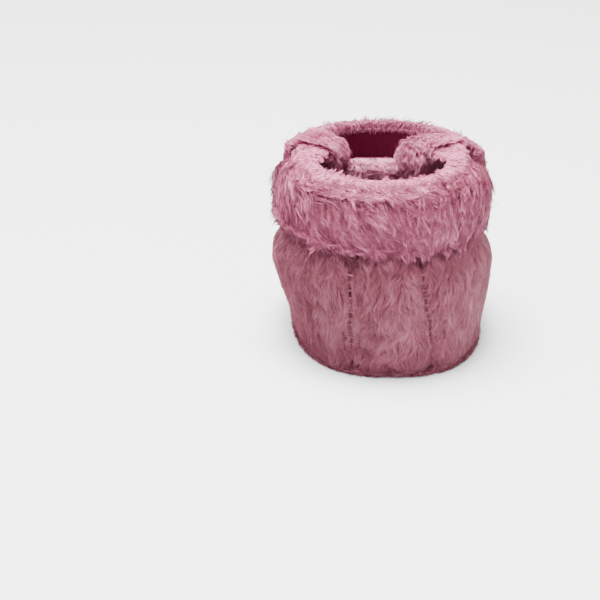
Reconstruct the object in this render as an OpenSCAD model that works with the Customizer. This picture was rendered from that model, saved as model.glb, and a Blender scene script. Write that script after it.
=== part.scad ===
// Baby bootie for a right foot, cut and sewn from plush fabric: a soft layered sole, a heel panel
// between two quarters, a toe vamp, a plush lining, a cuff that is turned down over the collar and
// curls in at its two front ends, a tongue, and a front strap that swings open sideways.
// +Y points to the toe, +X to the outer side of the foot, +Z up. The origin is on the ground
// under the middle of the bootie. Fabric thicknesses include the pile.

/* [Foot] */
// Back of the heel at the height where the body is fullest, behind the origin
heel_back = 60.5; // [58:0.5:61.5]
// Tip of the toe, in front of the origin
toe_reach = 61; // [56:0.5:64]
// Half width of the sole at the ball of the foot
sole_half_w = 39; // [37:0.5:40]
// Half width of the body at its fullest height
belly_half_w = 44; // [42:0.5:44.5]
// Height at which the body is fullest
belly_z = 38; // [34:1:40]
// Height at which the toe reaches furthest
toe_z = 15; // [12:1:20]

/* [Collar] */
// Height of the raw top edge of the quarters, under the cuff
collar_z = 77; // [74:0.5:80]
// Distance the body draws in to the ankle, under the cuff
neck_in = 10.5; // [8.5:0.5:11]
// Front of the ankle tube, in front of the origin
collar_front = 20; // [19:0.5:22]
// Height of the top edge of the toe vamp
vamp_top_z = 50; // [48:0.5:51]

/* [Fabric] */
// Thickness of an outer panel with its pile
panel_t = 5; // [4:0.25:5]
// Thickness of the plush lining
lining_t = 3.2; // [2.5:0.1:3.4]
// Depth to which a seam draws the fabric in
seam_pull = 2.4; // [1:0.2:3]
// Angle of the heel panel's two edges from the centre of the heel
heel_panel_half = 18; // [16:1:22]

/* [Sole] */
// Thickness of the outsole fabric
outsole_t = 2.4; // [2:0.1:3]
// Thickness of the sole wadding
padding_t = 4; // [3:0.5:5]
// Thickness of the plush insole
insole_t = 4; // [3:0.5:5]

/* [Cuff] */
// Height of the turned-down leg's lower edge
cuff_low_z = 54; // [52:0.5:56]
// Height of the top of the roll
cuff_top_z = 82; // [80.5:0.5:84]
// Thickness of the turned-down leg with its pile
cuff_t = 10.5; // [8:0.5:11]
// Radius of the two curled ends
curl_r = 6.2; // [5:0.2:6.4]

/* [Tongue] */
// Half width of the tongue
tongue_half_w = 18.5; // [16:0.5:18.5]
// Radius of the tongue's two upper corners
tongue_r = 12; // [9:0.5:13]
// Height of the tongue above the vamp, along its own slope
tongue_h = 19.5; // [18.5:0.5:20]
// Angle by which the tongue leans back
tongue_lean = 18; // [14:1:20]
// Thickness of each of the tongue's two layers
tongue_ply = 2.8; // [2:0.2:2.8]

/* [Strap] */
// Lower edge of the strap
strap_low_z = 56.5; // [56:0.5:60]
// Upper edge of the strap
strap_top_z = 81; // [79:0.5:81.5]
// Thickness of the strap's fur layer
strap_t = 4.2; // [3.6:0.2:5]
// Thickness of the strap's inner facing
facing_t = 1.2; // [0.8:0.1:1.4]

/* [Hidden] */

// Sole and foot outline
heel_sole_back = heel_back - 9;
toe_sole_reach = toe_reach - 5;
ball_y = 10;
collar_mid_y = -18;
foot_shift_x = 4;
lean_x = -4;
neck_back_z = 64;
neck_front_z = 56;
neck_run = 18;
lining_neck_run = 34;
sole_squareness = 0.77;
throat_z = 54;
instep_power = 1.6;

// Curled ends of the cuff: where each turns and where its tip lies
medial_bend = [-19.5, 4.5];
medial_tip = [-18, 1];
lateral_bend = [19.5, 4];
lateral_tip = [14, -1.5];
curl_root_r = 2;

// Middle of the tongue's base
tongue_x = -2;
tongue_y = collar_front - 7;

// Gaps between plies
ply_gap = 0.2;
step_gap = 0.3;

// Where the pieces begin and end, as angles round the foot: 0 is the outer side, 90 the toe,
// 180 the inner side and 270 the heel
heel_mid_a = 270;
medial_seam_a = heel_mid_a - heel_panel_half;
lateral_seam_a = heel_mid_a + heel_panel_half;
vamp_seam_low_a = 2;
vamp_seam_top_a = 52;
collar_edge_a = 30;
seam_spread = 4.2;
leg_medial_a = 172;
leg_lateral_a = 356;
strap_root_a = 161;
strap_end_a = 5;
patch_near_a = 9;
patch_far_a = 24;
label_medial_a = 116;
label_lateral_a = 70;

// Mesh steps
angle_step = 4;
height_step = 5;
sole_step = 5;

// Layers of the strap, as distances out from the collar
loop_out = 0.8;
hook_in = 1.1;
hook_out = 2;
facing_in = 2.2;
strap_in = facing_in + facing_t;
strap_out = strap_in + strap_t;
root_r = (strap_out - facing_in) / 2 + 0.15;
root_out = (strap_out + facing_in) / 2;

// Pull tab
tab_r = 1.3;
tab_half_h = 4;

// Threads
thread_r = 0.35;
rung_len = 3;
rung_pitch = 3.2;
stitch_len = 2.6;

// Colours
plush_pink = [0.85, 0.55, 0.66];
cuff_pink = [0.90, 0.62, 0.74];
lining_pink = [0.88, 0.68, 0.76];
sole_pink = [0.72, 0.42, 0.52];
magenta = [0.60, 0.02, 0.24];
thread_pink = [0.62, 0.28, 0.40];
pale_thread = [0.93, 0.84, 0.86];
wadding_white = [0.94, 0.92, 0.90];

function lerp(a, b, t) = a + (b - a) * t;
function ease(t) = let (c = min(1, max(0, t))) c * c * (3 - 2 * c);
function unit(v) = v / norm(v);
function flatten(rows) = [for (row = rows) each row];
function steps(from, to, step) =
    let (count = max(1, ceil(abs(to - from) / step)))
    [for (i = [0:count]) lerp(from, to, i / count)];

// Plan of the body at height z. The neck draws the body in over a height of neck_len, and it is
// complete lower down in front, where the strap lies, than behind, where the cuff hangs outside it
function neck_top(a) = lerp(neck_back_z, neck_front_z, ease(2 * sin(a) + 1));
function neck_share(a, z, neck_len) = ease((z - neck_top(a) + neck_len) / neck_len);
function full_half_w(z) = lerp(sole_half_w, belly_half_w, ease(z / belly_z));
function full_back(z) = lerp(heel_sole_back, heel_back, ease(z / belly_z));
function instep_share(z) = cos(90 * min(1, (z - toe_z) / (throat_z - toe_z)));
function front_y(z) =
    z < toe_z
        ? lerp(toe_sole_reach, toe_reach, ease(z / toe_z))
        : collar_front + (toe_reach - collar_front) * pow(max(0, instep_share(z)), instep_power);
function wide_y(z) = lerp(ball_y, collar_mid_y, ease(z / neck_front_z));
function mid_x(z) = foot_shift_x + lean_x * ease(z / neck_front_z);
function squared(v, z) = sign(v) * pow(abs(v), lerp(sole_squareness, 1, ease(z / neck_front_z)));
function ring(a, z, neck_len = neck_run) =
    let (
        draw = neck_in * neck_share(a, z, neck_len),
        reach = sin(a) > 0 ? front_y(z) - wide_y(z) : wide_y(z) + full_back(z) - draw,
        half_w = full_half_w(z) - draw
    )
    [mid_x(z) + half_w * squared(cos(a), z), wide_y(z) + reach * squared(sin(a), z), z];
function outward(a, z, neck_len = neck_run) =
    unit(cross(
        ring(a + 0.5, z, neck_len) - ring(a - 0.5, z, neck_len),
        ring(a, z + 0.5, neck_len) - ring(a, z - 0.5, neck_len)
    ));
function skin(a, z, depth, neck_len = neck_run) =
    ring(a, z, neck_len) - outward(a, z, neck_len) * depth;

// Seam between the vamp and a quarter on the outer side; above the vamp it is the throat edge
function front_seam_a(z) =
    z < vamp_top_z
        ? lerp(vamp_seam_low_a, vamp_seam_top_a, ease(z / vamp_top_z))
        : lerp(vamp_seam_top_a, collar_edge_a, ease((z - vamp_top_z) / (neck_front_z - vamp_top_z)));
function seam_bump(turn) = exp(-pow(turn / seam_spread, 2));
function below_vamp_top(z) = 1 - ease((z - vamp_top_z + height_step) / height_step);
function seam_dip(a, z) =
    seam_pull * max(
        seam_bump(a - medial_seam_a),
        seam_bump(a - lateral_seam_a),
        seam_bump(a - 360 - front_seam_a(z)) * below_vamp_top(z),
        seam_bump(a - front_seam_a(z)) * below_vamp_top(z),
        seam_bump(a - 180 + front_seam_a(z)) * below_vamp_top(z)
    );

// Collar line at the top of the ankle tube, moved outwards and to a height
function collar_normal(a) = let (n = outward(a, collar_z)) unit([n.x, n.y, 0]);
function collar(a, out, z) =
    let (p = ring(a, collar_z)) [p.x, p.y, 0] + collar_normal(a) * out + [0, 0, z];

// Two triangles for one four-sided patch
function patch(p, q, r, s) = [[p, q, r], [p, r, s]];

// Closed slab between an outer and an inner grid of points, rows upwards and columns round
module slab(outer, inner) {
    rows = len(outer);
    cols = len(outer[0]);
    function o(r, c) = r * cols + c;
    function n(r, c) = (rows + r) * cols + c;
    faces = flatten(concat(
        [for (r = [0:rows - 2], c = [0:cols - 2]) patch(o(r, c), o(r + 1, c), o(r + 1, c + 1), o(r, c + 1))],
        [for (r = [0:rows - 2], c = [0:cols - 2]) patch(n(r, c), n(r, c + 1), n(r + 1, c + 1), n(r + 1, c))],
        [for (c = [0:cols - 2]) patch(o(0, c), o(0, c + 1), n(0, c + 1), n(0, c))],
        [for (c = [0:cols - 2])
            patch(o(rows - 1, c + 1), o(rows - 1, c), n(rows - 1, c), n(rows - 1, c + 1))],
        [for (r = [0:rows - 2]) patch(o(r + 1, 0), o(r, 0), n(r, 0), n(r + 1, 0))],
        [for (r = [0:rows - 2])
            patch(o(r, cols - 1), o(r + 1, cols - 1), n(r + 1, cols - 1), n(r, cols - 1))]
    ));
    polyhedron(points = concat(flatten(outer), flatten(inner)), faces = faces);
}

// Closed solid through a row of closed rings, each listed up its inner side and down its outer side
module loft(rings) {
    count = len(rings[0]);
    last = len(rings) - 1;
    sides = flatten([
        for (i = [0:last - 1], j = [0:count - 1])
            let (k = (j + 1) % count)
            patch(i * count + j, (i + 1) * count + j, (i + 1) * count + k, i * count + k)
    ]);
    start_cap = [for (j = [0:count - 1]) j];
    end_cap = [for (j = [count - 1:-1:0]) last * count + j];
    polyhedron(points = flatten(rings), faces = concat(sides, [start_cap, end_cap]));
}

// Angles of each row of a wall, whose two edges are given for each height
function wall_angles(edges, step) =
    let (cols = ceil(max([for (e = edges) e[1] - e[0]]) / step))
    [for (e = edges) [for (i = [0:cols]) lerp(e[0], e[1], i / cols)]];

module outer_panel(heights, edges) {
    angles = wall_angles(edges, angle_step);
    rows = [for (i = [0:len(heights) - 1]) i];
    slab(
        [for (i = rows) [for (a = angles[i]) skin(a, heights[i], seam_dip(a, heights[i]))]],
        [for (i = rows) [for (a = angles[i]) skin(a, heights[i], panel_t)]]
    );
}

module lining_panel(heights, edges) {
    angles = wall_angles(edges, angle_step * 1.5);
    rows = [for (i = [0:len(heights) - 1]) i];
    near = panel_t + ply_gap;
    far = near + lining_t;
    slab(
        [for (i = rows) [for (a = angles[i]) skin(a, heights[i], near, lining_neck_run)]],
        [for (i = rows) [for (a = angles[i]) skin(a, heights[i], far, lining_neck_run)]]
    );
}

// Band that runs along the collar: section points are [distance out, height]
module collar_band(section, from_a, to_a, step = angle_step) {
    loft([for (a = steps(from_a, to_a, step)) [for (p = section) collar(a, p[0], p[1])]]);
}

function box_section(in, out, low, top) = [[in, low], [in, top], [out, top], [out, low]];

// Sole layer with the outline of the body set in by inset at height outline_z
module sole_layer(inset, outline_z, low_z, thick) {
    outline = [for (a = [0:sole_step:359]) let (p = skin(a, outline_z, inset)) [p.x, p.y]];
    translate([0, 0, low_z])
        linear_extrude(height = thick)
            polygon(outline);
}

// Thread between two points
module thread(p, q) {
    run = q - p;
    turn = atan2(run.y, run.x);
    tip = atan2(norm([run.x, run.y]), run.z);
    translate(p)
        rotate([0, tip, turn])
            cylinder(h = norm(run), r = thread_r, $fn = 16);
}

// Ladder of threads that crosses a heel seam and lies on the panels with its ends
module seam_ladder(seam_a) {
    half_turn = rung_len / 2 / belly_half_w * 180 / PI;
    depth = seam_pull * seam_bump(half_turn) - thread_r - 0.3;
    for (z = [8:rung_pitch:cuff_low_z - 6])
        thread(skin(seam_a - half_turn, z, depth), skin(seam_a + half_turn, z, depth));
}

// The tongue's own plane: x across, y up the slope, z towards the toe
module on_tongue() {
    translate([tongue_x, tongue_y, vamp_top_z + step_gap])
        rotate([90 + tongue_lean, 0, 0])
            mirror([0, 0, 1])
                children();
}

// Centre of the tongue's upper corner on one side: side is 1 or -1
function tongue_corner(side) = [side * (tongue_half_w - tongue_r), tongue_h - tongue_r];

module tongue_outline() {
    translate([-tongue_half_w, 0])
        square([2 * tongue_half_w, tongue_h - tongue_r]);
    translate([tongue_r - tongue_half_w, 0])
        square([2 * (tongue_half_w - tongue_r), tongue_h]);
    intersection() {
        for (side = [-1, 1])
            translate(tongue_corner(side))
                circle(r = tongue_r, $fn = 48);
        translate([-tongue_half_w, 0])
            square([2 * tongue_half_w, tongue_h]);
    }
}

module tongue_ply_at(low, thick) {
    on_tongue()
        translate([0, 0, low])
            linear_extrude(height = thick)
                tongue_outline();
}

function medial_edges(z) = [180 - front_seam_a(z), medial_seam_a];
function lateral_edges(z) = [lateral_seam_a, 360 + front_seam_a(z)];

panel_heights = concat(
    steps(outsole_t + ply_gap, vamp_top_z, height_step),
    steps(vamp_top_z + 2, collar_z, height_step)
);
vamp_heights = steps(outsole_t + ply_gap, vamp_top_z, height_step * 0.6);

module outsole() {
    color(sole_pink)
        sole_layer(0.5, outsole_t, 0, outsole_t);
}

module sole_padding() {
    color(wadding_white)
        sole_layer(panel_t + lining_t + 1.4, 3, outsole_t + ply_gap, padding_t);
}

module insole() {
    color(lining_pink)
        sole_layer(panel_t + lining_t + 1, 4, outsole_t + padding_t + 2 * ply_gap, insole_t);
}

module heel_panel() {
    color(plush_pink)
        outer_panel(panel_heights, [for (z = panel_heights) [medial_seam_a, lateral_seam_a]]);
}

module medial_quarter() {
    color(plush_pink)
        outer_panel(panel_heights, [for (z = panel_heights) medial_edges(z)]);
}

module lateral_quarter() {
    color(plush_pink)
        outer_panel(panel_heights, [for (z = panel_heights) lateral_edges(z)]);
}

module toe_vamp() {
    color(plush_pink)
        outer_panel(vamp_heights, [for (z = vamp_heights) [front_seam_a(z), 180 - front_seam_a(z)]]);
}

module ankle_lining() {
    edge = [for (z = panel_heights) z > vamp_top_z ? collar_edge_a - 3 : vamp_seam_top_a];
    color(lining_pink)
        lining_panel(panel_heights, [for (e = edge) [180 - e, 360 + e]]);
}

module vamp_lining() {
    edge = vamp_seam_top_a + 0.5;
    color(lining_pink)
        lining_panel(vamp_heights, [for (z = vamp_heights) [edge, 180 - edge]]);
}

// Crest over the collar, the leg turned down outside it, and the two curled ends
module cuff() {
    crest_low = collar_z + step_gap;
    crest_in = -(panel_t + lining_t + ply_gap);
    crest = [
        [crest_in, crest_low],
        [crest_in, cuff_top_z - 2.5],
        [crest_in + 2.5, cuff_top_z - 0.6],
        [-2, cuff_top_z],
        [step_gap, cuff_top_z],
        [step_gap, crest_low]
    ];
    leg = [
        [neck_in * 0.68, cuff_low_z],
        [neck_in * 0.4, cuff_low_z + 4],
        [neck_in * 0.15, cuff_low_z + 7.5],
        [step_gap, neck_back_z + 1],
        [step_gap, cuff_top_z],
        [3, cuff_top_z - 0.7],
        [cuff_t - 3.5, cuff_top_z - 3.5],
        [cuff_t - 1, cuff_top_z - 9],
        [cuff_t, cuff_top_z - 16],
        [cuff_t - 1, cuff_low_z + 3],
        [cuff_t - 3.2, cuff_low_z - 1]
    ];
    curl_z = collar_z - 3.5;
    crest_z = (crest_low + cuff_top_z) / 2;
    end_a = collar_edge_a + 3;
    color(cuff_pink)
        union() {
            collar_band(crest, 180 - end_a, 360 + end_a);
            collar_band(leg, leg_medial_a, leg_lateral_a);
            cuff_curl(collar(180 - end_a, crest_in / 2, crest_z), medial_bend, medial_tip, curl_z);
            cuff_curl(collar(end_a, crest_in / 2, crest_z), lateral_bend, lateral_tip, curl_z);
        }
}

// Curled end that leaves the crest at root and turns in at height z through bend to tip
module cuff_curl(root, bend, tip, z) {
    hull() {
        curl_ball(root, curl_root_r);
        curl_ball([bend.x, bend.y, z], curl_r);
    }
    hull() {
        curl_ball([bend.x, bend.y, z], curl_r);
        curl_ball([tip.x, tip.y, z], curl_r);
    }
}

module curl_ball(place, r) {
    translate(place)
        sphere(r = r, $fn = 24);
}

module tongue_outer() {
    color(plush_pink)
        tongue_ply_at(ply_gap / 2, tongue_ply);
}

module tongue_lining() {
    color(lining_pink)
        tongue_ply_at(-tongue_ply - ply_gap / 2, tongue_ply);
}

// Fur layer of the strap, with a round root on the hinge line
module front_strap() {
    color(plush_pink) {
        collar_band(box_section(strap_in, strap_out, strap_low_z, strap_top_z), strap_end_a, strap_root_a);
        translate(collar(strap_root_a, root_out, strap_low_z))
            cylinder(h = strap_top_z - strap_low_z, r = root_r, $fn = 32);
    }
}

module strap_facing() {
    color(lining_pink)
        collar_band(
            box_section(facing_in, strap_in - ply_gap, strap_low_z + 0.5, strap_top_z - 0.5),
            patch_far_a + 1, strap_root_a - 8
        );
}

// Plain satin patch on the facing
module satin_label() {
    color(magenta)
        collar_band(
            box_section(facing_in - 0.8, facing_in - 0.1, strap_low_z + 3, strap_top_z - 4.6),
            label_lateral_a, label_medial_a
        );
}

module hook_patch() {
    color(pale_thread)
        collar_band(
            box_section(hook_in, hook_out, strap_low_z + 3, strap_top_z - 4),
            patch_near_a, patch_far_a
        );
}

// Short upright tab that stands out of the strap's free end
module strap_pull_tab() {
    tab_z = (strap_low_z + strap_top_z) / 2;
    color(cuff_pink)
        hull() {
            for (z = [tab_z - tab_half_h, tab_z + tab_half_h])
                translate(collar(strap_end_a - 2.2, strap_out - 2, z))
                    sphere(r = tab_r, $fn = 16);
            translate(collar(strap_end_a - 4, strap_out - 0.5, tab_z))
                sphere(r = tab_r + 0.4, $fn = 16);
        }
}

module loop_patch() {
    color(pale_thread)
        collar_band(
            box_section(0.1, loop_out, strap_low_z + 2, strap_top_z - 5),
            patch_near_a - 2, patch_far_a
        );
}

module medial_heel_stitches() {
    color(thread_pink)
        seam_ladder(medial_seam_a);
}

module lateral_heel_stitches() {
    color(thread_pink)
        seam_ladder(lateral_seam_a);
}

module vamp_stitches() {
    depth = seam_pull - thread_r - 0.5;
    color(thread_pink)
        for (z = [8:rung_pitch:vamp_top_z - 7], side = [0, 1])
            let (
                low = side == 0 ? front_seam_a(z) : 180 - front_seam_a(z),
                high = side == 0 ? front_seam_a(z + stitch_len) : 180 - front_seam_a(z + stitch_len)
            )
            thread(skin(low, z, depth), skin(high, z + stitch_len, depth));
}

// Running stitch along the rim of the outsole, under the panels' edges
module sole_stitches() {
    pitch_a = 7.5;
    stitch_a = 4.5;
    function on_rim(a) = let (p = ring(a, outsole_t)) [p.x, p.y, outsole_t / 2];
    color(thread_pink)
        for (a = [0:pitch_a:359])
            thread(on_rim(a), on_rim(a + stitch_a));
}

// Running stitch that holds the cuff and the lining to the top of the quarters
module collar_stitches() {
    pitch_a = 8;
    stitch_a = 5;
    inside = panel_t + lining_t + ply_gap + thread_r + 0.1;
    color(thread_pink)
        for (a = [190:pitch_a:350])
            thread(collar(a, -inside, collar_z - 3), collar(a + stitch_a, -inside, collar_z - 3));
}

// Running stitch along the tongue's rounded edge, on its lining side
module tongue_stitches() {
    pitch_a = 22.5;
    stitch_a = 15;
    edge_r = tongue_r - 2;
    lift = -tongue_ply - ply_gap - thread_r - 0.1;
    function on_corner(side, a) =
        let (c = tongue_corner(side))
        [c.x + side * edge_r * cos(a), c.y + edge_r * sin(a), lift];
    color(thread_pink)
        on_tongue()
            for (side = [-1, 1], a = [0:pitch_a:90 - pitch_a])
                thread(on_corner(side, a), on_corner(side, a + stitch_a));
}

// Pale edge seam along the inside of the strap's upper edge
module strap_stitches() {
    pitch_a = 3;
    stitch_a = 2.2;
    color(pale_thread)
        for (a = [label_lateral_a - 12:pitch_a:label_medial_a + 10])
            thread(
                collar(a, facing_in - thread_r - 0.15, strap_top_z - 3.6),
                collar(a + stitch_a, facing_in - thread_r - 0.15, strap_top_z - 3.6)
            );
}

// Upright rows of stitches at the two ends of the label
module label_stitches() {
    inside = facing_in - 0.8 - thread_r - 0.15;
    color(magenta)
        for (a = [label_lateral_a + 1.5, label_medial_a - 1.5], z = [strap_low_z + 4:4:strap_top_z - 6])
            thread(collar(a, inside, z), collar(a, inside, z + stitch_len));
}

outsole();
sole_padding();
insole();
heel_panel();
medial_quarter();
lateral_quarter();
toe_vamp();
ankle_lining();
vamp_lining();
cuff();
tongue_outer();
tongue_lining();
front_strap();
strap_facing();
satin_label();
hook_patch();
strap_pull_tab();
loop_patch();
medial_heel_stitches();
lateral_heel_stitches();
vamp_stitches();
sole_stitches();
collar_stitches();
tongue_stitches();
strap_stitches();
label_stitches();
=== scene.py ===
"""Plush baby bootie: soft fabric shells grown over with pile, on a pale floor in soft light."""
import math
from collections import namedtuple

import bpy
import numpy as np
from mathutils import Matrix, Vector
from mathutils.bvhtree import BVHTree
from mathutils.kdtree import KDTree


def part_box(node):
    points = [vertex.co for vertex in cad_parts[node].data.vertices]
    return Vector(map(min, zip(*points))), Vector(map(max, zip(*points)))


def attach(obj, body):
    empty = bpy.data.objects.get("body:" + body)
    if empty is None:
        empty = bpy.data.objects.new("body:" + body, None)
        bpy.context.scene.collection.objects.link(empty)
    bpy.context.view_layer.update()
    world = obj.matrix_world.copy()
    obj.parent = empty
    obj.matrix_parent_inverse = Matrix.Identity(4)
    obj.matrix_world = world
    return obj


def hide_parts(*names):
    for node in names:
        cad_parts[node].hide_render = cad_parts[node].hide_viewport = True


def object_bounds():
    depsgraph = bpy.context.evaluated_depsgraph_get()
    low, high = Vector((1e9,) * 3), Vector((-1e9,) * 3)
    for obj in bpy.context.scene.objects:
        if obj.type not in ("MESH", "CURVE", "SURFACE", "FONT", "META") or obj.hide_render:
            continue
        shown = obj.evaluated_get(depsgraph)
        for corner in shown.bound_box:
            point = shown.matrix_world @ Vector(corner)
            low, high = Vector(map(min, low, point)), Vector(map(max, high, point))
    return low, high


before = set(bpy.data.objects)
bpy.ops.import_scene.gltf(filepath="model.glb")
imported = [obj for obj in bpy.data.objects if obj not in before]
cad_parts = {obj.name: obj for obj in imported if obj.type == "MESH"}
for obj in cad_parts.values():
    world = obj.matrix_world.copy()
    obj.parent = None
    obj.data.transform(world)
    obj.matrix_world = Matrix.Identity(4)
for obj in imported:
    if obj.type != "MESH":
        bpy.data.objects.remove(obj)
CAD_LOW, CAD_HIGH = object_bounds()
RANDOM = np.random.default_rng(19)
MM = 0.001
UP = np.array([0.0, 0.0, 1.0])

# Collar: the two half ellipses that the top of the ankle tube follows, as in the CAD part
COLLAR_MID = np.array([0.0, -18.0]) * MM
COLLAR_HALF_W = 33.5 * MM
COLLAR_FRONT = 38.0 * MM
COLLAR_BACK = 32.0 * MM
COLLAR_Z = 77.3 * MM

# Landmarks. A pair is where a share starts and where it is whole.
CREST_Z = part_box("cuff")[1][2]
CUFF_LOW_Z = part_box("cuff")[0][2]
STRAP_TOP_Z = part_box("front_strap")[1][2]
PINCH_ANGLE = math.radians(-58)                     # the cuff's pile sweeps towards it from both sides
STRAP_END = math.radians(5)                         # the strap's free end
BARE_ANGLE = math.radians(-3)                       # middle of the gap beside the strap's free end,
BARE_HALF_ANGLE = math.radians(9)                   # where the cuff doesn't cover the panel
FOOT_LINE_HALF = 25 * MM                            # level line through the foot, heel to toe,
FOOT_LINE_Z = 22 * MM                               # that outer faces look away from
HEEL = (36 * MM, 48 * MM)                           # towards the heel
HEM = (3 * MM, 8 * MM)                              # up from the sole's edge
TOE_SWEEP = (8 * MM, 30 * MM)                       # towards the toe
LADDER_PULL = (1.0 * MM, 4.0 * MM)                  # away from a ladder stitch
LOWER_EDGE = (0.0, 8 * MM)                          # down from 9 mm above the cuff's lower edge
CROWN = (CREST_Z - 9 * MM, CREST_Z - 3 * MM)        # up the cuff
INNER_EDGE = (-6 * MM, -2 * MM)                     # outwards, inside the collar
BESIDE_STRAP = (0.02, 0.20)                         # sines of the angle round the collar, from here on
CURLED = (0.30, 0.46)
CURL_ROOT = (0.45, 0.60)
PARTING = 2.5 * MM                                  # distance outside the collar where the pile parts
STRAP_MIDDLE = 5.0 * MM                             # distance outside the collar

# Cloth
LAST_CLOTH_FRAME = 20
CLOTH_PRESSURE = 4
CLOTH_QUALITY = 3
ROLL_IN = 4.0 * MM                                  # of the crest, before its ends curl
SPREAD_OUT = 3.5 * MM                               # of the inner curled end
SHELLS = {  # body and material slot
    "heel_panel": ("bootie", "body_plush"),
    "medial_quarter": ("bootie", "body_plush"),
    "lateral_quarter": ("bootie", "body_plush"),
    "toe_vamp": ("bootie", "body_plush"),
    "cuff": ("bootie", "cuff_plush"),
    "ankle_lining": ("bootie", "lining_plush"),
    "vamp_lining": ("bootie", "lining_plush"),
    "insole": ("bootie", "lining_plush"),
    "sole_padding": ("bootie", "wadding"),
    "outsole": ("bootie", "sole_fabric"),
    "tongue_outer": ("tongue", "body_plush"),
    "tongue_lining": ("tongue", "lining_plush"),
    "front_strap": ("strap", "cuff_plush"),
    "strap_facing": ("strap", "lining_plush"),
    "strap_pull_tab": ("strap", "cuff_plush"),
}

# Pile
TONES = 7
FLOOR_GAP = 0.3 * MM                                # least height over the floor
ROOT_DEPTH = 0.3 * MM                               # how far under the cloth a strand starts
SKIN_GAP = 0.2 * MM                                 # least height over the cloth past the root
FINE = 0.11 * MM                                    # radius of the finer strands
TIP_WIDTH = 0.45                                    # share of the radius that is left near the tip
STRAY = 0.2                                         # how far a lock strays from the combing
OWN_STRAY = 0.4                                     # what each strand adds, as a share of that
PHASES = 6.3                                        # random phases go from 0 to a little over one turn
WAVE_TURN = 7.5                                     # radians of its wave that a strand goes through
RISE_LOST = 0.8                                     # share of its rise that a strand loses by the tip
LOCK_ONSET = 1.2                                    # exponent: how late a lock's strands gather
LOCK_WIDTH = 0.2                                    # share of its width at the root that a lock keeps
LENGTH_SPREAD = 0.18
RADIUS_SPREAD = 0.25
TONE_SPREAD = 0.06
PANEL_SOWINGS = {"heel_panel": 1, "medial_quarter": 2, "lateral_quarter": 2, "toe_vamp": 1}
CUFF_SECTORS = {  # angles round the collar that each lies between
    "heel_inner": (-2.20, -1.57),
    "heel_outer": (-1.57, -0.90),
    "inner_side": (-3.00, -2.20),
    "outer_side": (-0.90, -0.10),
    "inner_front": (1.57, 3.28),
    "outer_front": (-0.10, 1.57),
}
# Strands in each piece. One of 4 points has 16 triangles and one of 5 points has 22, and a piece stays
# under 200,000 triangles, so that the export doesn't simplify it.
STRANDS = {
    "panel": 12000, "outsole": 7000, "cuff_sector": 8600, "curl": 9000, "ankle_lining": 10000,
    "insole": 6000, "tongue_lining": 12000, "tongue_outer": 4000, "front_strap": 12400,
    "strap_facing": 6000, "strap_pull_tab": 1500,
}

# View
VIEW_AZIMUTH = math.radians(0)
VIEW_ELEVATION = math.radians(25)
VIEW_DISTANCE = 0.60
FRAME_WIDTH = 0.240
AIM_RIGHT = -0.032
AIM_UP = -0.021
SENSOR_WIDTH = 36
WORLD_COLOUR = (1.0, 0.985, 0.98, 1)
WORLD_STRENGTH = 0.6
FLOOR_HALF = 6.0
FLOOR_COLOUR = (0.94, 0.94, 0.94, 1)


def unit(v):
    return v / np.maximum(np.linalg.norm(v, axis=-1, keepdims=True), 1e-12)


def smooth_step(x, low, high):
    t = np.clip((x - low) / (high - low), 0.0, 1.0)
    return t * t * (3 - 2 * t)


def kd_tree(points):
    tree = KDTree(len(points))
    for i, point in enumerate(points):
        tree.insert(point, i)
    tree.balance()
    return tree


# ---------------------------------------------------------------- camera, lights and floor

def make_camera():
    sight = Vector((
        -math.sin(VIEW_AZIMUTH) * math.cos(VIEW_ELEVATION),
        math.cos(VIEW_AZIMUTH) * math.cos(VIEW_ELEVATION),
        -math.sin(VIEW_ELEVATION),
    ))
    right = Vector((math.cos(VIEW_AZIMUTH), math.sin(VIEW_AZIMUTH), 0))
    up = right.cross(sight)
    middle = Vector((COLLAR_MID[0], COLLAR_MID[1], (CAD_LOW.z + CAD_HIGH.z) / 2))
    data = bpy.data.cameras.new("camera")
    data.sensor_width = SENSOR_WIDTH
    data.lens = SENSOR_WIDTH * VIEW_DISTANCE / FRAME_WIDTH
    data.clip_start = 0.01
    camera = bpy.data.objects.new("camera", data)
    camera.location = middle - sight * VIEW_DISTANCE + right * AIM_RIGHT + up * AIM_UP
    camera.rotation_euler = sight.to_track_quat("-Z", "Y").to_euler()
    bpy.context.scene.collection.objects.link(camera)
    bpy.context.scene.camera = camera


def area_light(name, place, target, size, power):
    data = bpy.data.lights.new(name, "AREA")
    data.shape = "DISK"
    data.size = size
    data.energy = power
    lamp = bpy.data.objects.new(name, data)
    lamp.location = place
    lamp.rotation_euler = (Vector(target) - Vector(place)).to_track_quat("-Z", "Y").to_euler()
    bpy.context.scene.collection.objects.link(lamp)


def make_stage():
    world = bpy.data.worlds.new("studio")
    world.use_nodes = True
    world.node_tree.nodes["Background"].inputs["Color"].default_value = WORLD_COLOUR
    world.node_tree.nodes["Background"].inputs["Strength"].default_value = WORLD_STRENGTH
    bpy.context.scene.world = world
    area_light("overhead", place=(-0.15, -0.15, 1.5), target=(0, -0.02, 0.05), size=1.0, power=124.0)
    area_light("front_fill", place=(-0.35, -0.75, 0.45), target=(0, -0.03, 0.04), size=0.5, power=1.5)
    mesh = bpy.data.meshes.new("floor")
    corners = [(x * FLOOR_HALF, y * FLOOR_HALF, 0) for x, y in ((-1, -1), (1, -1), (1, 1), (-1, 1))]
    mesh.from_pydata(corners, [], [(0, 1, 2, 3)])
    floor = bpy.data.objects.new("floor", mesh)
    bpy.context.scene.collection.objects.link(floor)
    mat = bpy.data.materials.new("floor")
    mat.use_nodes = True
    shader = mat.node_tree.nodes["Principled BSDF"]
    shader.inputs["Base Color"].default_value = FLOOR_COLOUR
    shader.inputs["Roughness"].default_value = 0.8
    mesh.materials.append(mat)


# ---------------------------------------------------------------- materials

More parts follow.
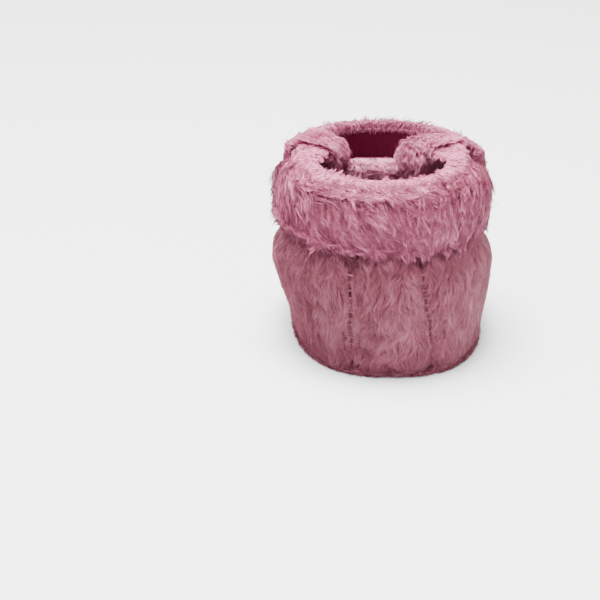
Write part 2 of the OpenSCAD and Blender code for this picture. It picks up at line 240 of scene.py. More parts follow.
def new_material(name, roughness, sheen, sheen_tint):
    mat = bpy.data.materials.new(name)
    mat.use_nodes = True
    shader = mat.node_tree.nodes["Principled BSDF"]
    shader.inputs["Roughness"].default_value = roughness
    shader.inputs["Sheen Weight"].default_value = sheen
    shader.inputs["Sheen Roughness"].default_value = 0.5
    shader.inputs["Sheen Tint"].default_value = (*sheen_tint, 1)
    return mat, shader


def texture_node(mat, coords, kind, **values):
    made = mat.node_tree.nodes.new(kind)
    for key, value in values.items():
        made.inputs[key].default_value = value
    if kind == "ShaderNodeTexWave":
        made.bands_direction = "DIAGONAL"
    mat.node_tree.links.new(coords.outputs["Object"], made.inputs["Vector"])
    return made


def textured_material(name, roughness, sheen, dark, light, tones, relief, strength, depth,
                      stops=(0.0, 1.0)):
    """Two tones mixed by one texture, with a bump from another.

    Tones and relief are each a kind of texture node with its inputs. Stops are the values of the
    first texture that give the dark and the light tone.
    """
    mat, shader = new_material(name, roughness, sheen, light)
    nodes, links = mat.node_tree.nodes, mat.node_tree.links
    coords = nodes.new("ShaderNodeTexCoord")
    tone_texture = texture_node(mat, coords, tones[0], **tones[1])
    relief_texture = texture_node(mat, coords, relief[0], **relief[1])
    ramp = nodes.new("ShaderNodeValToRGB")
    for stop, at, colour in zip(ramp.color_ramp.elements, stops, (dark, light)):
        stop.position = at
        stop.color = (*colour, 1)
    bump = nodes.new("ShaderNodeBump")
    bump.inputs["Strength"].default_value = strength
    bump.inputs["Distance"].default_value = depth
    links.new(tone_texture.outputs["Fac"], ramp.inputs["Fac"])
    links.new(ramp.outputs["Color"], shader.inputs["Base Color"])
    links.new(relief_texture.outputs["Fac"], bump.inputs["Height"])
    links.new(bump.outputs["Normal"], shader.inputs["Normal"])
    return mat


def cloth_material(name, dark, light, speckle, weave, strength):
    """Knitted or brushed backing: two tones mixed by noise, with a fine fibre bump."""
    patches = ("ShaderNodeTexNoise", {"Scale": speckle, "Detail": 6.0, "Roughness": 0.65})
    fibres = ("ShaderNodeTexNoise", {"Scale": weave, "Detail": 3.0, "Roughness": 0.7})
    return textured_material(name, 0.85, 0.25, dark, light, patches, fibres, strength, 0.6 * MM,
                             stops=(0.32, 0.68))


def satin_material(name, dark, light):
    """Smooth satin: fine diagonal threads, soft gloss."""
    clouds = ("ShaderNodeTexNoise", {"Scale": 60.0, "Detail": 3.0})
    threads = ("ShaderNodeTexWave", {"Scale": 900.0, "Distortion": 0.6, "Detail": 1.0})
    mat = textured_material(name, 0.55, 0.1, dark, light, clouds, threads, 0.25, 0.2 * MM)
    mat.node_tree.nodes["Principled BSDF"].inputs["Specular IOR Level"].default_value = 0.2
    return mat


def thread_material(name, dark, light):
    """Twisted sewing thread."""
    twist = ("ShaderNodeTexWave", {"Scale": 1400.0, "Distortion": 1.5})
    return textured_material(name, 0.5, 0.3, dark, light, twist, twist, 0.5, 0.2 * MM)


def pile_palette(name, deep, middle, bright):
    """Tints of one plush, from the deep pink at the roots, painted shade deep in the pile, to the bright
    tips, painted light.
    """
    stops = np.array([deep, middle, bright])
    palette = []
    for i in range(TONES):
        at = i / (TONES - 1)
        colour = [np.interp(at, (0, 0.5, 1), stops[:, c]) for c in range(3)]
        mat, shader = new_material(f"{name}_{i}", 0.65, 0.12, bright)
        shader.inputs["Base Color"].default_value = (*colour, 1)
        palette.append(mat)
    return palette


make_camera()
make_stage()

# Linear colours: deep, middle and bright for pile, from painted shade at the roots to painted light at the
# tips; dark and light for cloth and thread
BODY_PINK = pile_palette("body_pile", (0.105, 0.0125, 0.031), (0.23, 0.047, 0.080), (0.40, 0.130, 0.188))
CUFF_PINK = pile_palette("cuff_pile", (0.110, 0.0070, 0.028), (0.26, 0.044, 0.090), (0.72, 0.205, 0.370))
CURL_PINK = pile_palette("curl_pile", (0.240, 0.0280, 0.080), (0.52, 0.115, 0.215), (0.80, 0.310, 0.460))
# tongue tints: the lining plush, partly its own lighter pink and partly brightened as painted light against
# the shade inside the opening
TONGUE_PINK = pile_palette("tongue_pile", (0.440, 0.1080, 0.215), (0.76, 0.255, 0.410), (0.92, 0.405, 0.570))
LINING_PINK = pile_palette("lining_pile", (0.200, 0.0350, 0.080), (0.46, 0.145, 0.235), (0.76, 0.390, 0.510))

PLUSH_BACKING = {"speckle": 140, "weave": 1500, "strength": 0.4}
# the pink backings are the knit backing, coloured darker than their pile as painted shade seen through gaps
# in the pile; the wadding keeps its own pale colour
SLOT_CLOTH = {
    "body_plush": cloth_material("body_cloth", (0.100, 0.012, 0.030), (0.17, 0.032, 0.062), **PLUSH_BACKING),
    "cuff_plush": cloth_material("cuff_cloth", (0.160, 0.018, 0.052), (0.26, 0.050, 0.105), **PLUSH_BACKING),
    "lining_plush": cloth_material("lining_cloth", (0.170, 0.032, 0.065), (0.32, 0.090, 0.150),
                                   **PLUSH_BACKING),
    "sole_fabric": cloth_material("sole_cloth", (0.130, 0.022, 0.050), (0.22, 0.055, 0.095), 260, 2200, 0.6),
    "wadding": cloth_material("wadding_cloth", (0.60, 0.57, 0.54), (0.75, 0.73, 0.71), 200, 1200, 0.5),
}
TAPE = cloth_material("tape_cloth", (0.45, 0.24, 0.31), (0.60, 0.38, 0.45), 500, 2600, 1.0)
SATIN = satin_material("magenta_satin", (0.045, 0.0001, 0.008), (0.095, 0.0002, 0.020))
PINK_THREAD = thread_material("pink_thread", (0.11, 0.014, 0.028), (0.20, 0.04, 0.065))
PALE_THREAD = thread_material("pale_thread", (0.34, 0.10, 0.17), (0.50, 0.20, 0.29))
CAD_FINISH = {  # pieces that keep their CAD mesh
    "satin_label": SATIN,
    "hook_patch": TAPE,
    "loop_patch": TAPE,
    "medial_heel_stitches": PINK_THREAD,
    "lateral_heel_stitches": PINK_THREAD,
    "vamp_stitches": PINK_THREAD,
    "sole_stitches": PINK_THREAD,
    "collar_stitches": PINK_THREAD,
    "tongue_stitches": PINK_THREAD,
    "strap_stitches": PALE_THREAD,
    "label_stitches": SATIN,
}


# ---------------------------------------------------------------- soft shells

cloth = {}


def link_mesh(name, mesh, body):
    piece = bpy.data.objects.new(name, mesh)
    bpy.context.scene.collection.objects.link(piece)
    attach(piece, body)
    return piece


def evaluated_copy(source, name):
    depsgraph = bpy.context.evaluated_depsgraph_get()
    mesh = bpy.data.meshes.new_from_object(source.evaluated_get(depsgraph))
    mesh.name = name
    return mesh


def remeshed(mesh, name, voxel, rounds):
    """Even, rounded copy of a mesh."""
    work = bpy.data.objects.new("work", mesh.copy())
    bpy.context.scene.collection.objects.link(work)
    grid = work.modifiers.new("grid", "REMESH")
    grid.mode = "VOXEL"
    grid.voxel_size = voxel
    relax = work.modifiers.new("relax", "SMOOTH")
    relax.factor = 0.5
    relax.iterations = rounds
    made = evaluated_copy(work, name)
    bpy.data.objects.remove(work)
    return made


def vertex_arrays(mesh):
    places = np.empty(len(mesh.vertices) * 3)
    mesh.vertices.foreach_get("co", places)
    normals = np.empty(len(mesh.vertices) * 3)
    mesh.vertices.foreach_get("normal", normals)
    return places.reshape(-1, 3), normals.reshape(-1, 3)


def set_places(mesh, places):
    mesh.vertices.foreach_set("co", np.ascontiguousarray(places).ravel())
    mesh.update()


def swell(mesh, cap, swells):
    """Cloth simulation under pressure: moves each point by up to cap, where swells allows."""
    start, normals = vertex_arrays(mesh)
    pad = bpy.data.objects.new("pad", mesh.copy())
    scene = bpy.context.scene
    scene.collection.objects.link(pad)
    cloth_modifier = pad.modifiers.new("cloth", "CLOTH")
    cloth_modifier.settings.quality = CLOTH_QUALITY
    cloth_modifier.settings.use_pressure = True
    cloth_modifier.settings.uniform_pressure_force = CLOTH_PRESSURE
    cloth_modifier.settings.effector_weights.gravity = 0
    cloth_modifier.point_cache.frame_end = LAST_CLOTH_FRAME
    for tick in range(1, LAST_CLOTH_FRAME + 1):
        scene.frame_set(tick)
    swollen = evaluated_copy(pad, "swollen")
    move = vertex_arrays(swollen)[0] - start
    size = np.linalg.norm(move, axis=1)
    limit = cap * swells(start, normals)
    set_places(mesh, start + move * (np.minimum(size, limit) / np.maximum(size, 1e-9))[:, None])
    scene.frame_set(1)
    bpy.data.objects.remove(pad)
    bpy.data.meshes.remove(swollen)


def soft_shell(cad_node, voxel, depth, swells=None, cap=1.0 * MM, rounds=4, settle=None):
    """Rounded fabric shell inside a CAD node's solid, set in by the depth of its pile.

    Depth is a length, or a function that gives one for each point. Settle moves the points before
    that. Where swells is given, the shell is a pad that swells there.
    """
    body, slot = SHELLS[cad_node]
    mesh = remeshed(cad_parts[cad_node].data, cad_node + "_cloth", voxel, rounds)
    if settle:
        set_places(mesh, settle(vertex_arrays(mesh)[0]))
    places, normals = vertex_arrays(mesh)
    inset = depth(places) if callable(depth) else np.full(len(places), depth)
    set_places(mesh, places - normals * inset[:, None])
    if swells:
        swell(mesh, cap, swells)
    places, _ = vertex_arrays(mesh)
    places[:, 2] = np.maximum(places[:, 2], 0.0)
    set_places(mesh, places)
    mesh.polygons.foreach_set("use_smooth", np.ones(len(mesh.polygons), bool))
    mesh.materials.clear()
    mesh.materials.append(SLOT_CLOTH[slot])
    piece = link_mesh(cad_node + "_cloth", mesh, body)
    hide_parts(cad_node)
    cloth[cad_node] = piece


# ---------------------------------------------------------------- pile

class Surface:
    """A mesh that pile grows on."""

    def __init__(self, mesh):
        mesh.calc_loop_triangles()
        self.places, self.normals = vertex_arrays(mesh)
        corners = np.empty(len(mesh.loop_triangles) * 3, np.int32)
        mesh.loop_triangles.foreach_get("vertices", corners)
        self.corners = corners.reshape(-1, 3)
        a, b, c = (self.places[self.corners[:, i]] for i in range(3))
        across = np.cross(b - a, c - a)
        self.areas = np.linalg.norm(across, axis=1) / 2
        self.faces = unit(across)
        self.middles = (a + b + c) / 3
        self.tree = BVHTree.FromPolygons(self.places.tolist(), self.corners.tolist())

    def scatter(self, count, weight):
        """Random roots, denser where weight(places, normals) is larger."""
        share = self.areas * weight(self.middles, self.faces)
        chosen = RANDOM.choice(len(share), size=count, p=share / share.sum())
        first, second = RANDOM.random((2, count))
        fold = first + second > 1
        first[fold], second[fold] = 1 - first[fold], 1 - second[fold]
        mix = np.stack([1 - first - second, first, second], axis=1)[:, :, None]
        triangle = self.corners[chosen]
        roots = (self.places[triangle] * mix).sum(axis=1)
        return roots, unit((self.normals[triangle] * mix).sum(axis=1))

    def nearest(self, points):
        found = [self.tree.find_nearest(p) for p in points]
        places = np.array([f[0] for f in found])
        normals = np.array([f[1] for f in found])
        return places, normals


def waves(points, scale, seed):
    """Smooth random field, mostly from -1 to 1. Each seed gives another one."""
    picker = np.random.default_rng(seed)
    total = np.zeros(len(points))
    for _ in range(6):
        direction = picker.normal(size=3)
        total += np.sin(points @ direction / scale + picker.random() * PHASES)
    return total / 3.2


def random_directions(points, scale, seeds):
    """Smooth random field of directions."""
    return np.stack([waves(points, scale, seed) for seed in seeds], axis=1)


def even(value):
    """The same length, lift or wave everywhere."""
    return lambda points: np.full(len(points), value)


def grow(surface, count, weight, comb, length, lift, points=4, clump=0.6, per_clump=8, hug=0.85,
         wave=even(0.0)):
    """Strands as arrays of points: each follows comb over the surface and gathers into locks.

    Clump is how far the strands of a lock close up at the tip. Hug is how strongly a strand is held at
    its height over the surface.
    """
    roots, normals = surface.scatter(count, weight)
    lengths = length(roots) * (1 + LENGTH_SPREAD * RANDOM.normal(size=count)).clip(0.5, 1.5)
    lifts = lift(roots)
    waviness = wave(roots)
    picks = RANDOM.choice(count, size=max(1, count // per_clump), replace=False)
    lock_tree = kd_tree(roots[picks])
    lock = np.array([lock_tree.find(root)[1] for root in roots])
    lock_sway = RANDOM.normal(size=(len(picks), 3))[lock]
    sway = (lock_sway + RANDOM.normal(size=(count, 3)) * OWN_STRAY) * STRAY
    phase = RANDOM.random(len(picks))[lock] * PHASES
    line = np.empty((count, points, 3))
    line[:, 0] = roots - normals * ROOT_DEPTH
    place, facing = roots.copy(), normals.copy()
    step = (lengths / (points - 1))[:, None]
    for k in range(1, points):
        along = k / (points - 1)
        heading = comb(place, facing) + sway
        heading = unit(heading - facing * (heading * facing).sum(axis=1, keepdims=True))
        swing = np.sin(phase + along * WAVE_TURN) * waviness
        heading = heading + np.cross(facing, heading) * swing[:, None]
        rise = lifts * (1.0 - RISE_LOST * along)
        heading = unit(heading + facing * rise[:, None])
        free = place + heading * step
        near, near_normal = surface.nearest(free)
        height = (lengths * lifts * (along - 0.45 * along ** 2) * 0.7)[:, None]
        agree = np.clip((near_normal * facing).sum(axis=1, keepdims=True) * 0.7 + 0.3, 0, 1)
        held = near + near_normal * np.maximum(height, SKIN_GAP)
        place = free + (held - free) * hug * agree
        facing = unit(facing + near_normal * agree)
        line[:, k] = place
    gather = clump * (np.linspace(0, 1, points) ** LOCK_ONSET)[None, :, None]
    spread = (roots - roots[picks][lock])[:, None, :] * LOCK_WIDTH
    line += (line[picks][lock] + spread - line) * gather
    line[:, :, 2] = np.maximum(line[:, :, 2], FLOOR_GAP)
    return line, normals, lock


def strand_mesh(name, line, normals, thickness, tones, root_shade_to_tip_light, palette):
    """Closed three-sided tapering tubes along the strands, with a tint for each stretch: painted shade
    towards the root and painted light towards the tip.
    """
    count, points, _ = line.shape
    rings = points - 1
    tangents = unit(line[:, 1:] - line[:, :-1])
    sides = unit(np.cross(tangents, normals[:, None, :]))
    tops = np.cross(sides, tangents)
    radii = thickness[:, None, None] * np.linspace(1.0, TIP_WIDTH, rings)[None, :, None]
    corners = []
    for turn in (0, math.tau / 3, 2 * math.tau / 3):
        corners.append(line[:, :-1] + (sides * math.cos(turn) + tops * math.sin(turn)) * radii)
    tube = np.stack(corners, axis=2).reshape(count, rings * 3, 3)
    verts = np.concatenate([tube, line[:, -1:]], axis=1)
    tip = rings * 3
    pattern, stretch = [], []
    for j in range(rings - 1):
        low, high = j * 3, j * 3 + 3
        for m in range(3):
            n = (m + 1) % 3
            pattern += [(low + m, low + n, high + n), (low + m, high + n, high + m)]
            stretch += [j, j]
    last = tip - 3
    for m in range(3):
        pattern.append((last + m, last + (m + 1) % 3, tip))
        stretch.append(rings - 1)
    pattern.append((2, 1, 0))
    stretch.append(0)
    pattern = np.array(pattern, np.int32)
    faces = (pattern[None] + (np.arange(count) * (tip + 1))[:, None, None]).reshape(-1, 3)
    mesh = bpy.data.meshes.new(name)
    mesh.vertices.add(count * (tip + 1))
    mesh.vertices.foreach_set("co", verts.ravel())
    mesh.loops.add(faces.size)
    mesh.loops.foreach_set("vertex_index", faces.ravel())
    mesh.polygons.add(len(faces))
    mesh.polygons.foreach_set("loop_start", np.arange(0, faces.size, 3, dtype=np.int32))
    for mat in palette:
        mesh.materials.append(mat)
    along = np.linspace(-0.5, 0.5, rings)[np.array(stretch)]
    # painted shade at the root and painted light at the tip of each strand
    tint = tones[:, None] + along[None, :] * root_shade_to_tip_light
    index = np.clip(np.round(tint * (TONES - 1)), 0, TONES - 1).astype(np.int32)
    mesh.polygons.foreach_set("material_index", index.ravel())
    mesh.polygons.foreach_set("use_smooth", np.ones(len(faces), bool))
    mesh.update(calc_edges=True)
    return mesh


def pile(name, base, palette, count, weight, comb, length, lift, tone, radius=0.13 * MM, root_shade_to_tip_light=0.4,
         patchy=0.13, **shape):
    """Grows pile on a shell and adds it as a piece of its own, with the shell's body and the palette's tints
    as its slots.

    The difference in tint from root to tip is painted shade at the root and painted light at the tip, and
    patchy is the difference between locks.
    """
    body, slot = SHELLS[base]
    line, normals, lock = grow(Surface(cloth[base].data), count, weight, comb, length, lift, **shape)
    per_lock = RANDOM.normal(size=lock.max() + 1)[lock] * patchy
    tones = tone(line[:, 0]) + per_lock + RANDOM.normal(size=count) * TONE_SPREAD
    thickness = radius * (1 + RADIUS_SPREAD * RANDOM.normal(size=count)).clip(0.5, 1.6)
    piece = link_mesh(name, strand_mesh(name, line, normals, thickness, tones, root_shade_to_tip_light, palette), body)


# ---------------------------------------------------------------- fields that the cloth and pile follow

Collar = namedtuple("Collar", "outward sideways distance angle")


def collar_frame(points):
    """Outward and sideways directions at the collar, the distance outside it and the angle round it.

    The angle is 0 on the outer side, 90 degrees at the toe and -90 at the heel.
    """
    flat = points[:, :2] - COLLAR_MID
    reach = np.where(flat[:, 1] > 0, COLLAR_FRONT, COLLAR_BACK)
    radii = np.stack([np.full(len(points), COLLAR_HALF_W), reach], axis=1)
    share = flat / radii
    outward = np.zeros_like(points)
    outward[:, :2] = share / radii
    outward = unit(outward)
    distance = (np.linalg.norm(share, axis=1) - 1) * radii.mean(axis=1)
    return Collar(outward, np.cross(UP, outward), distance, np.arctan2(share[:, 1], share[:, 0]))


def facing_out(places, normals):
    """1 on faces that look away from the foot, 0 on faces that look at it."""
    middle = np.stack([
        np.zeros(len(places)),
        np.clip(places[:, 1], -FOOT_LINE_HALF, FOOT_LINE_HALF),
        np.full(len(places), FOOT_LINE_Z),
    ], axis=1)
    return (((places - middle) * normals).sum(axis=1) > 0).astype(float)


def facing_up(places, normals):
    return (normals[:, 2] > 0.5).astype(float)


def facing_heel(places, normals):
    return (normals[:, 1] < -0.3).astype(float)


def facing_toe(places, normals):
    return (normals[:, 1] > 0.3).astype(float)


def facing_sideways(places, normals):
    return (np.abs(normals[:, 2]) < 0.7).astype(float)


def all_round(places, normals):
    return np.ones(len(places))


def off_the_foot(places, normals):
    """1 on faces of the cuff or strap that don't look at the foot."""
    return ((normals * collar_frame(places).outward).sum(axis=1) > -0.2).astype(float)


LADDERS = kd_tree(np.concatenate([
    vertex_arrays(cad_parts[name].data)[0] for name in ("medial_heel_stitches", "lateral_heel_stitches")
]))


def ladder_distance(points):
    return np.array([LADDERS.find(p)[2] for p in points])


# ---------------------------------------------------------------- cloth under the pile

def panel_depth(places):
    """The depth of the body's pile, and none beside the ladder stitches, where two panels meet."""
    return 0.8 * MM * smooth_step(ladder_distance(places), *LADDER_PULL)


def cuff_depth(places):
    """The depth of the cuff's pile: small on the thin crest, more on the inner side of the foot."""
    at = collar_frame(places)
    leg = smooth_step(at.distance, 0.0, 4 * MM)
    return (0.7 + leg * (1.9 - 0.9 * np.cos(at.angle))) * MM


def settled_crest(places):
    """The crest sits lower than its pile, and rolls inwards where its two ends begin to curl."""
    at = collar_frame(places)
    front = np.sin(at.angle)
    moved = places.copy()
    lowered = 0.25 + 0.30 * smooth_step(-front, 0.0, 0.7)
    moved[:, 2] -= np.maximum(places[:, 2] - COLLAR_Z, 0.0) * lowered
    rise = smooth_step(front, -0.10, 0.25) * (1 - smooth_step(front, *CURL_ROOT))
    roll = ROLL_IN * rise * smooth_step(-at.distance, 3 * MM, 8 * MM)
    inner_end = smooth_step(front, *CURL_ROOT) * (places[:, 0] < 0)
    spread = SPREAD_OUT * inner_end * smooth_step(-at.distance, 0.0, 5 * MM)
    return moved + at.outward * (spread - roll)[:, None]


def strap_depth(places):
    """The depth of the strap's pile, and none at its free end, where the tab is sewn on."""
    return 1.2 * MM * smooth_step(collar_frame(places).angle, STRAP_END, STRAP_END + math.radians(4))


for panel in PANEL_SOWINGS:
    soft_shell(panel, voxel=1.0 * MM, depth=panel_depth, swells=facing_out)
soft_shell("cuff", voxel=1.2 * MM, depth=cuff_depth, swells=off_the_foot, settle=settled_crest)
for layer in ("ankle_lining", "vamp_lining"):
    soft_shell(layer, voxel=1.0 * MM, depth=0.6 * MM)
soft_shell("insole", voxel=1.2 * MM, depth=0.8 * MM, swells=facing_up)
soft_shell("sole_padding", voxel=1.2 * MM, depth=0.1 * MM)
soft_shell("outsole", voxel=0.8 * MM, depth=0.0, rounds=2)
soft_shell("tongue_outer", voxel=0.8 * MM, depth=0.4 * MM, swells=facing_toe, cap=1.5 * MM)
soft_shell("tongue_lining", voxel=0.8 * MM, depth=0.4 * MM, swells=facing_heel, cap=2.5 * MM)
soft_shell("front_strap", voxel=1.0 * MM, depth=strap_depth, swells=off_the_foot)
soft_shell("strap_facing", voxel=0.4 * MM, depth=0.0, rounds=1)
soft_shell("strap_pull_tab", voxel=0.5 * MM, depth=0.3 * MM)


# ---------------------------------------------------------------- pile on the body

BodyFields = namedtuple("BodyFields", "ladder heel hem")


def body_fields(points):
    """Distance from a ladder stitch, and shares for the heel and for the sole's edge."""
    return BodyFields(ladder_distance(points), smooth_step(-points[:, 1], *HEEL),
                      1 - smooth_step(points[:, 2], *HEM))


def body_weight(places, normals):
    uncovered = np.abs(collar_frame(places).angle - BARE_ANGLE) < BARE_HALF_ANGLE
    covered = (places[:, 2] > CUFF_LOW_Z + 8 * MM) & ~uncovered
    return facing_out(places, normals) * np.where(covered, 0.05, 1.0) * (1 + 3.0 * body_fields(places).hem)


def to_ladder(points):
    """Level direction to the nearest ladder stitch."""
    way = np.array([LADDERS.find(p)[0] for p in points]) - points
    way[:, 2] = 0
    return unit(way)


def body_comb(points, normals):
    at = body_fields(points)
    side = unit(np.cross(UP, normals + 1e-6))
    drift = 0.16 * waves(points, 8 * MM, 3) + at.heel * 0.7 * waves(points, 2.4 * MM, 4)
    forward = np.zeros_like(points)
    forward[:, 1] = smooth_step(points[:, 1], *TOE_SWEEP) * 1.1
    near = 1 - smooth_step(at.ladder, *LADDER_PULL)
    tufts = to_ladder(points) * (near * (0.7 + 0.9 * waves(points, 0.9 * MM, 6)))[:, None]
    return -UP + side * drift[:, None] + forward + tufts + normals * (0.25 * at.hem)[:, None]


def body_length(points):
    at = body_fields(points)
    return (5.6 + 1.2 * at.heel + 1.2 * at.hem) * MM * (1 + 0.2 * waves(points, 5 * MM, 8))


def body_lift(points):
    at = body_fields(points)
    return 0.46 + 0.10 * at.heel * waves(points, 2.5 * MM, 9) + 0.15 * at.hem


def body_tone(points):
    """Painted shade: darker in the grooves at the ladder stitches and in the fold under the cuff, where
    shade falls.
    """
    at = body_fields(points)
    # painted shade along the ladder grooves and in the fold under the cuff
    groove_shade = np.exp(-(at.ladder / (2.0 * MM)) ** 2)
    crease_shade = at.heel * np.exp(-((points[:, 2] - CUFF_LOW_Z + 3 * MM) / (2.5 * MM)) ** 2)
    patches = (0.04 + 0.06 * at.heel) * waves(points, 3.2 * MM, 5)
    return 0.54 + patches - 0.06 * groove_shade - 0.20 * crease_shade


for panel, sowings in PANEL_SOWINGS.items():
    for sowing in range(sowings):
        pile(f"{panel}_pile_{sowing}", panel, BODY_PINK, STRANDS["panel"], body_weight, body_comb,
             body_length, body_lift, body_tone, radius=FINE, clump=0.40, root_shade_to_tip_light=0.34)
pile("outsole_pile", "outsole", BODY_PINK, STRANDS["outsole"], facing_sideways, body_comb,
     even(3.4 * MM), even(0.9), body_tone, radius=FINE, clump=0.4, hug=0.4)


# ---------------------------------------------------------------- pile on the cuff

CuffFields = namedtuple("CuffFields", Collar._fields + ("crown", "curl", "beside_strap", "over_strap"))


def cuff_fields(points):
    """Collar frame, with shares for the crest's shoulder, the curled ends, the stretch beside the
    strap, and the part of that stretch whose pile falls over the strap.
    """
    at = collar_frame(points)
    front = np.sin(at.angle)
    curl = smooth_step(front, *CURLED)
    beside_strap = smooth_step(front, *BESIDE_STRAP) * (1 - curl)
    over_strap = beside_strap * smooth_step(at.distance, *INNER_EDGE) * (at.distance < 2 * MM)
    return CuffFields(*at, smooth_step(points[:, 2], *CROWN), curl, beside_strap, over_strap)


def outer_leg(distance):
    """Share for the cuff's outer leg, past the parting."""
    return smooth_step(distance, PARTING - 1 * MM, PARTING + 3 * MM)


def lower_edge(points):
    return smooth_step(CUFF_LOW_Z + 9 * MM - points[:, 2], *LOWER_EDGE)


def cuff_weight(places, normals):
    """Thin where the cuff lies against the panel or the strap, and thick near the parting."""
    at = cuff_fields(places)
    facing = (normals * at.outward).sum(axis=1)
    against_foot = (facing < -0.3) & (at.distance > 0)
    under = (normals[:, 2] < -0.7) & (at.curl < 0.5)
    against_strap = (at.beside_strap > 0.3) & (facing > 0.5) & (places[:, 2] < CREST_Z - 5 * MM)
    by_parting = np.exp(-((at.distance - PARTING) / (2.5 * MM)) ** 2) * (places[:, 2] > CREST_Z - 6 * MM)
    return np.where(against_foot | under | against_strap, 0.01, 1 + 0.8 * by_parting)


def cuff_comb(points, normals):
    """Outwards and down past the parting, inwards and down before it, and outwards over the strap."""
    at = cuff_fields(points)
    parting = at.distance + 2.0 * MM * waves(points, 3 * MM, 27)
    outer = smooth_step(parting, PARTING - 2.0 * MM, PARTING + 2.0 * MM)[:, None]
    to_pinch = np.clip(1.1 * (PINCH_ANGLE - at.angle), -0.9, 0.8) * smooth_step(-np.sin(at.angle), 0.0, 0.5)
    sweep = to_pinch * (1 + 1.8 * at.crown) + 0.35 * waves(points, 4 * MM, 21)
    leaning = 0.6 * at.crown - 0.7 * lower_edge(points)
    falling = at.outward * leaning[:, None] - UP + at.sideways * sweep[:, None]
    inward = -at.outward - UP * 0.8 + at.sideways * (0.5 * waves(points, 5 * MM, 22))[:, None]
    over_strap = at.outward * 0.9 - UP * 0.5 + at.sideways * (0.4 * waves(points, 4 * MM, 26))[:, None]
    share = at.over_strap[:, None]
    return (falling * outer + inward * (1 - outer)) * (1 - share) + over_strap * share


def cuff_length(points):
    """Long on the outer leg, but no longer than the way down to its lower edge."""
    at = cuff_fields(points)
    leg = 4.4 * MM + outer_leg(at.distance) * 6.6 * MM
    room = np.maximum(points[:, 2] - CUFF_LOW_Z + 3.0 * MM, 3 * MM)
    return (np.minimum(leg, room * 1.1) + 2.5 * MM * at.over_strap) * (1 + 0.15 * waves(points, 6 * MM, 12))


def cuff_lift(points):
    return 0.24 + 0.06 * outer_leg(cuff_fields(points).distance) + 0.08 * waves(points, 3 * MM, 13)


def cuff_wave(points):
    return 0.50 + 0.35 * cuff_fields(points).crown


def cuff_tone(points):
    """Painted light on the crown, which faces the overhead light, and painted shade at the lower edge and on
    the outer side of the foot, away from the light.
    """
    at = cuff_fields(points)
    # painted light: brighter on the crown, and more on its inner side by the parting
    inner = at.crown * smooth_step(PARTING - at.distance, -3 * MM, 5 * MM)
    # painted shade under the lower edge and on the outer side, away from the light
    shade = 0.10 * lower_edge(points) + 0.16 * np.clip(np.cos(at.angle), 0, 1) * (1 - inner)
    return 0.28 + 0.27 * at.crown + 0.20 * inner - shade + 0.12 * waves(points, 3 * MM, 31)


def curl_weight(side):
    """Weight of one curled end: side is 1 for the outer end and -1 for the inner end."""
    def weight(places, normals):
        return cuff_weight(places, normals) * (cuff_fields(places).curl > 0.3) * (side * places[:, 0] > 0)
    return weight


def curl_comb(points, normals):
    at = cuff_fields(points)
    turn = np.sign(np.cos(at.angle))[:, None]
    over = smooth_step(at.distance, *INNER_EDGE)[:, None]
    tucked = -at.outward * 0.6 - at.sideways * turn * 0.6 - UP * 0.5
    tufts = random_directions(points, 5.0 * MM, (23, 24, 25)) * 0.6
    return tucked * (1 - over) + (at.outward + UP * 0.2) * over + tufts


def curl_tone(points):
    return 0.60 + 0.12 * waves(points, 3 * MM, 32)


def sector_weight(low, high):
    """Weight of one sector of the cuff, between two angles round the collar."""
    def weight(places, normals):
        at = cuff_fields(places)
        within = np.mod(at.angle - low, 2 * math.pi) < high - low
        return cuff_weight(places, normals) * within * (at.curl <= 0.3)
    return weight


for sector, angles in CUFF_SECTORS.items():
    pile("cuff_pile_" + sector, "cuff", CUFF_PINK, STRANDS["cuff_sector"], sector_weight(*angles), cuff_comb,
         cuff_length, cuff_lift, cuff_tone, points=5, clump=0.76, per_clump=10, hug=0.9, wave=cuff_wave,
         root_shade_to_tip_light=0.75, patchy=0.18)
for end, side in {"inner": -1, "outer": 1}.items():
    pile("curl_pile_" + end, "cuff", CURL_PINK, STRANDS["curl"], curl_weight(side), curl_comb,
         even(7.0 * MM), even(1.0), curl_tone, radius=FINE, points=5, clump=0.34, hug=0.35,
         wave=even(0.3), root_shade_to_tip_light=0.45)


# ---------------------------------------------------------------- pile inside and on the tongue

def lining_weight(places, normals):
    return (1 - facing_out(places, normals)) * (places[:, 2] > 9 * MM)


def tufted(points, normals):
    return random_directions(points, 3.0 * MM, (41, 42, 43))


def lining_comb(points, normals):
    return -UP + tufted(points, normals) * 0.5


def lining_tone(points):
    return 0.50 + 0.12 * waves(points, 3 * MM, 44)


def tongue_tone(points):
    return 0.70 + 0.14 * waves(points, 3.5 * MM, 45)


def heel_side(places, normals):
    return 0.1 + facing_heel(places, normals) + 0.8 * (normals[:, 2] > 0.3)


def toe_side(places, normals):
    return 0.1 + facing_toe(places, normals)


pile("ankle_lining_pile", "ankle_lining", LINING_PINK, STRANDS["ankle_lining"], lining_weight, lining_comb,
     even(4.0 * MM), even(0.5), lining_tone)
pile("insole_pile", "insole", LINING_PINK, STRANDS["insole"], facing_up, tufted, even(3.0 * MM), even(1.0),
     lining_tone)
pile("tongue_lining_pile", "tongue_lining", TONGUE_PINK, STRANDS["tongue_lining"], heel_side, tufted,
     even(4.2 * MM), even(1.0), tongue_tone, radius=0.10 * MM, per_clump=6, clump=0.35, hug=0.5,
     root_shade_to_tip_light=0.25)
pile("tongue_outer_pile", "tongue_outer", BODY_PINK, STRANDS["tongue_outer"], toe_side, body_comb,
     even(3.5 * MM), even(0.6), body_tone)


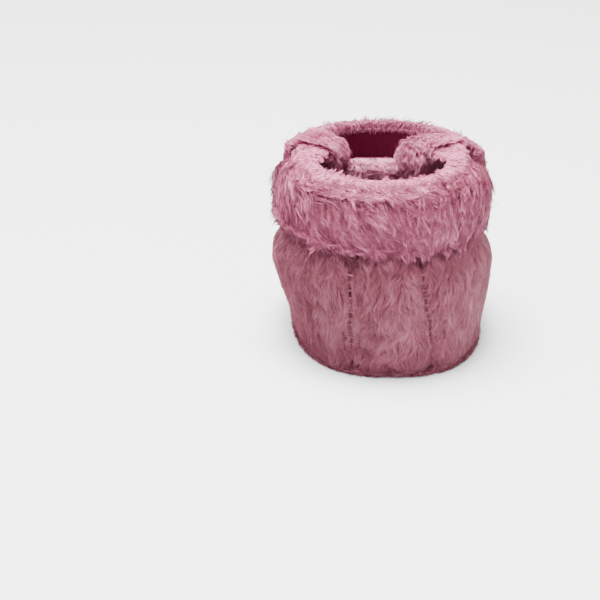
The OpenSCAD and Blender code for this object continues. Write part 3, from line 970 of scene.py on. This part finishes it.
# ---------------------------------------------------------------- pile on the strap

def strap_weight(places, normals):
    return np.where((normals * collar_frame(places).outward).sum(axis=1) < -0.6, 0.0, 1.0)


def strap_ends(points):
    """Share for the two stretches of the strap beside the cuff, on its upper edge."""
    turn = np.abs(collar_frame(points).angle - math.pi / 2)
    upper = smooth_step(points[:, 2], STRAP_TOP_Z - 4 * MM, STRAP_TOP_Z - 2 * MM)
    return smooth_step(turn, math.radians(30), math.radians(42)) * upper


def strap_comb(points, normals):
    at = collar_frame(points)
    ends = strap_ends(points)[:, None]
    inside = smooth_step(STRAP_MIDDLE - at.distance, -0.5 * MM, 1.5 * MM)[:, None]
    falling = at.outward * (0.6 - 1.4 * inside) - UP * 0.8
    drift = at.sideways * (0.5 * waves(points, 5 * MM, 51))[:, None]
    return falling * (1 - ends) - at.outward * ends + drift


def strap_length(points):
    return (4.4 - 0.8 * strap_ends(points)) * MM


def strap_tone(points):
    return 0.60 + 0.16 * strap_ends(points) + 0.10 * waves(points, 4 * MM, 53)


def facing_rim(places, normals):
    """1 on the upper edge of the strap's facing, but not on its side against the strap."""
    inside = (normals * collar_frame(places).outward).sum(axis=1) < 0.5
    return ((places[:, 2] > STRAP_TOP_Z - 3.0 * MM) & inside).astype(float)


def hanging_in(points, normals):
    at = collar_frame(points)
    return -at.outward * 0.5 - UP + at.sideways * (0.5 * waves(points, 4 * MM, 54))[:, None]


pile("front_strap_pile", "front_strap", CUFF_PINK, STRANDS["front_strap"], strap_weight, strap_comb,
     strap_length, even(0.45), strap_tone, clump=0.4)
pile("strap_facing_pile", "strap_facing", CURL_PINK, STRANDS["strap_facing"], facing_rim, hanging_in,
     even(2.8 * MM), even(0.7), strap_tone, radius=FINE, clump=0.3, per_clump=6, hug=0.5)
pile("strap_pull_tab_pile", "strap_pull_tab", CUFF_PINK, STRANDS["strap_pull_tab"], all_round, strap_comb,
     even(5.0 * MM), even(0.6), strap_tone)

for name, material in CAD_FINISH.items():
    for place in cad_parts[name].material_slots:
        place.material = material
